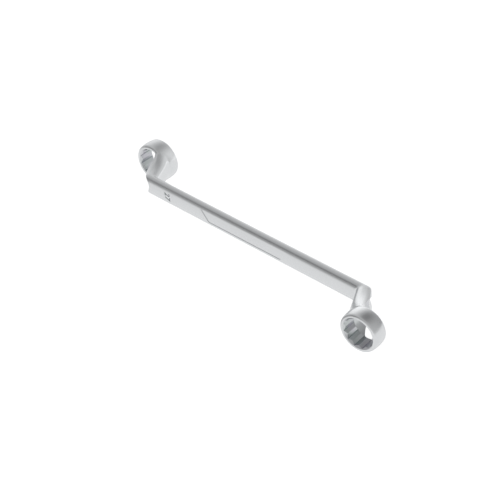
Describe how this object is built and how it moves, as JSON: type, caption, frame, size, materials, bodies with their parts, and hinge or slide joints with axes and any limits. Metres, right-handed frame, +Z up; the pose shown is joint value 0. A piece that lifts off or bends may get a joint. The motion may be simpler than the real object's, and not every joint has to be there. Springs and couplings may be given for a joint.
{
  "type": "ring spanner",
  "caption": "Deep-offset ring spanner with a twelve-point ring at each end of a flat shank, for turning hexagon bolts and nuts.",
  "frame": {"origin": "on the surface the spanner lies on, under the middle of its bounding box", "axes": "+X along the shank from the 27 mm ring to the 24 mm ring, +Z up, and the 24 mm ring offset towards -Y and the 27 mm ring towards +Y"},
  "size_m": [0.344, 0.0812, 0.04],
  "materials": {
    "satin_chrome": "satin"
  },
  "bodies": {
    "root": {"spanner_forging": "satin_chrome"}
  },
  "joints": []
}
